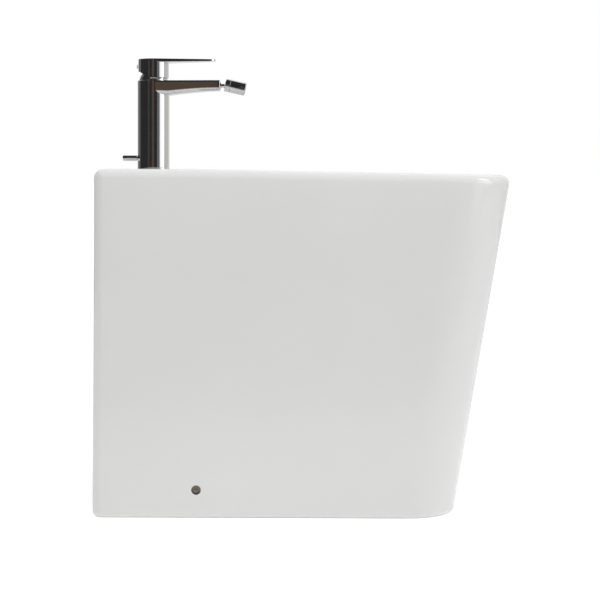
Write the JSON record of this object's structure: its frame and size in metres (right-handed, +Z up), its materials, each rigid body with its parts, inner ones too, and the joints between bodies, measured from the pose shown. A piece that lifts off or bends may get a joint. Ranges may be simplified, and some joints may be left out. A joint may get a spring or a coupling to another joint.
{
  "type": "floor standing bidet",
  "caption": "Floor standing bidet: tapering glazed ceramic body with bowl, lever mixer with swivelling nozzle, and pop-up waste worked by a knob behind the column.",
  "frame": {"origin": "centre of the footprint of the whole part's box, on the floor (z = 0)", "axes": "+Z up, the front of the bidet looks along -Y, the wall is at +Y, X runs left to right"},
  "size_m": [0.36, 0.488, 0.5367],
  "materials": {
    "ceramic_body": "glossy white glaze",
    "floor_brackets": "moulded nylon",
    "side_screws": "brown-grey screw with a matt head",
    "tap_body": "polished chrome on cast brass",
    "tap_base_gasket": "soft rubber",
    "tap_stud": "zinc plated steel",
    "clamp_rubber": "soft rubber",
    "clamp_plate": "pressed steel",
    "clamp_nut": "turned brass",
    "cartridge_housing": "moulded plastic",
    "cartridge_seals": "soft rubber",
    "fixed_disc": "lapped ceramic",
    "moving_disc": "lapped ceramic",
    "disc_carrier": "moulded plastic",
    "cartridge_rotor": "moulded plastic",
    "pivot_pin": "ground steel",
    "lever_stem": "steel",
    "cartridge_nut": "turned brass",
    "bonnet_dome": "polished chrome",
    "handle": "polished chrome on cast zinc",
    "handle_set_screw": "steel grub screw",
    "index_button": "gloss plastic",
    "ball_stud": "polished chrome",
    "ball_liner": "acetal",
    "nozzle_collar": "polished chrome",
    "nozzle_barrel": "polished chrome",
    "aerator_insert": "moulded plastic",
    "nozzle_seal": "soft rubber",
    "popup_knob": "polished chrome",
    "pull_rod": "steel rod",
    "rod_clip": "plated brass",
    "clip_screw": "thumb screw",
    "ball_lever": "steel rod with a plastic ball",
    "ball_nut": "chromed brass",
    "ball_seal": "soft rubber",
    "waste_flange": "polished chrome",
    "flange_seal": "soft rubber",
    "waste_body": "chromed brass",
    "waste_lower_seal": "soft rubber",
    "waste_nut": "chromed brass",
    "tailpiece_seal": "soft rubber",
    "tailpiece": "chromed brass tube",
    "plug_cap": "polished chrome",
    "plug_seal": "soft rubber",
    "plug_stem": "brass"
  },
  "bodies": {
    "base": {"ceramic_body": "ceramic_body", "floor_brackets": "floor_brackets", "side_screws": "side_screws", "tap_body": "tap_body", "tap_base_gasket": "tap_base_gasket", "tap_stud": "tap_stud", "clamp_rubber": "clamp_rubber", "clamp_plate": "clamp_plate", "clamp_nut": "clamp_nut", "cartridge_housing": "cartridge_housing", "cartridge_seals": "cartridge_seals", "fixed_disc": "fixed_disc", "cartridge_nut": "cartridge_nut", "bonnet_dome": "bonnet_dome", "ball_stud": "ball_stud", "waste_flange": "waste_flange", "flange_seal": "flange_seal", "waste_body": "waste_body", "waste_lower_seal": "waste_lower_seal", "waste_nut": "waste_nut", "tailpiece_seal": "tailpiece_seal", "tailpiece": "tailpiece", "ball_nut": "ball_nut", "ball_seal": "ball_seal"},
    "cartridge_turn": {"cartridge_rotor": "cartridge_rotor", "pivot_pin": "pivot_pin"},
    "disc_pair": {"moving_disc": "moving_disc", "disc_carrier": "disc_carrier"},
    "lever": {"lever_stem": "lever_stem", "handle": "handle", "handle_set_screw": "handle_set_screw", "index_button": "index_button"},
    "nozzle_swivel": {"ball_liner": "ball_liner"},
    "nozzle": {"nozzle_collar": "nozzle_collar", "nozzle_barrel": "nozzle_barrel", "aerator_insert": "aerator_insert", "nozzle_seal": "nozzle_seal"},
    "popup": {"popup_knob": "popup_knob", "pull_rod": "pull_rod", "rod_clip": "rod_clip", "clip_screw": "clip_screw"},
    "tipping_lever": {"ball_lever": "ball_lever"},
    "plug": {"plug_cap": "plug_cap", "plug_seal": "plug_seal", "plug_stem": "plug_stem"}
  },
  "joints": [
    {"name": "temperature_turn", "type": "hinge", "parent": "base", "child": "cartridge_turn", "pos_m": [0, 0.188, 0.508], "axis": [0, 0, 1], "range_deg": [-45, 45]},
    {"name": "lever_lift", "type": "hinge", "parent": "cartridge_turn", "child": "lever", "pos_m": [0, 0.188, 0.508], "axis": [-1, 0, 0], "range_deg": [0, 25]},
    {"name": "disc_slide", "type": "slide", "parent": "cartridge_turn", "child": "disc_pair", "axis": [0, -1, 0], "range_m": [0, 0.0064]},
    {"name": "nozzle_yaw", "type": "hinge", "parent": "base", "child": "nozzle_swivel", "pos_m": [0, 0.0943, 0.5043], "axis": [0, 0, 1], "range_deg": [-14, 14]},
    {"name": "nozzle_pitch", "type": "hinge", "parent": "nozzle_swivel", "child": "nozzle", "pos_m": [0, 0.0943, 0.5043], "axis": [1, 0, 0], "range_deg": [-28.4, 7.6]},
    {"name": "popup_lift", "type": "slide", "parent": "base", "child": "popup", "axis": [0, 0, 1], "range_m": [0, 0.025]},
    {"name": "lever_tip", "type": "hinge", "parent": "base", "child": "tipping_lever", "pos_m": [0, 0.064, 0.165], "axis": [1, 0, 0], "range_deg": [0, 10.5]},
    {"name": "plug_lift", "type": "slide", "parent": "base", "child": "plug", "axis": [0, 0, 1], "range_m": [-0.00605, 0]}
  ],
  "couplings": [
    {"joint": "disc_slide", "follows": "lever_lift", "m_per_rad": 0.0145},
    {"joint": "lever_tip", "follows": "popup_lift", "rad_per_m": 7.326},
    {"joint": "plug_lift", "follows": "popup_lift", "ratio": -0.24176}
  ]
}
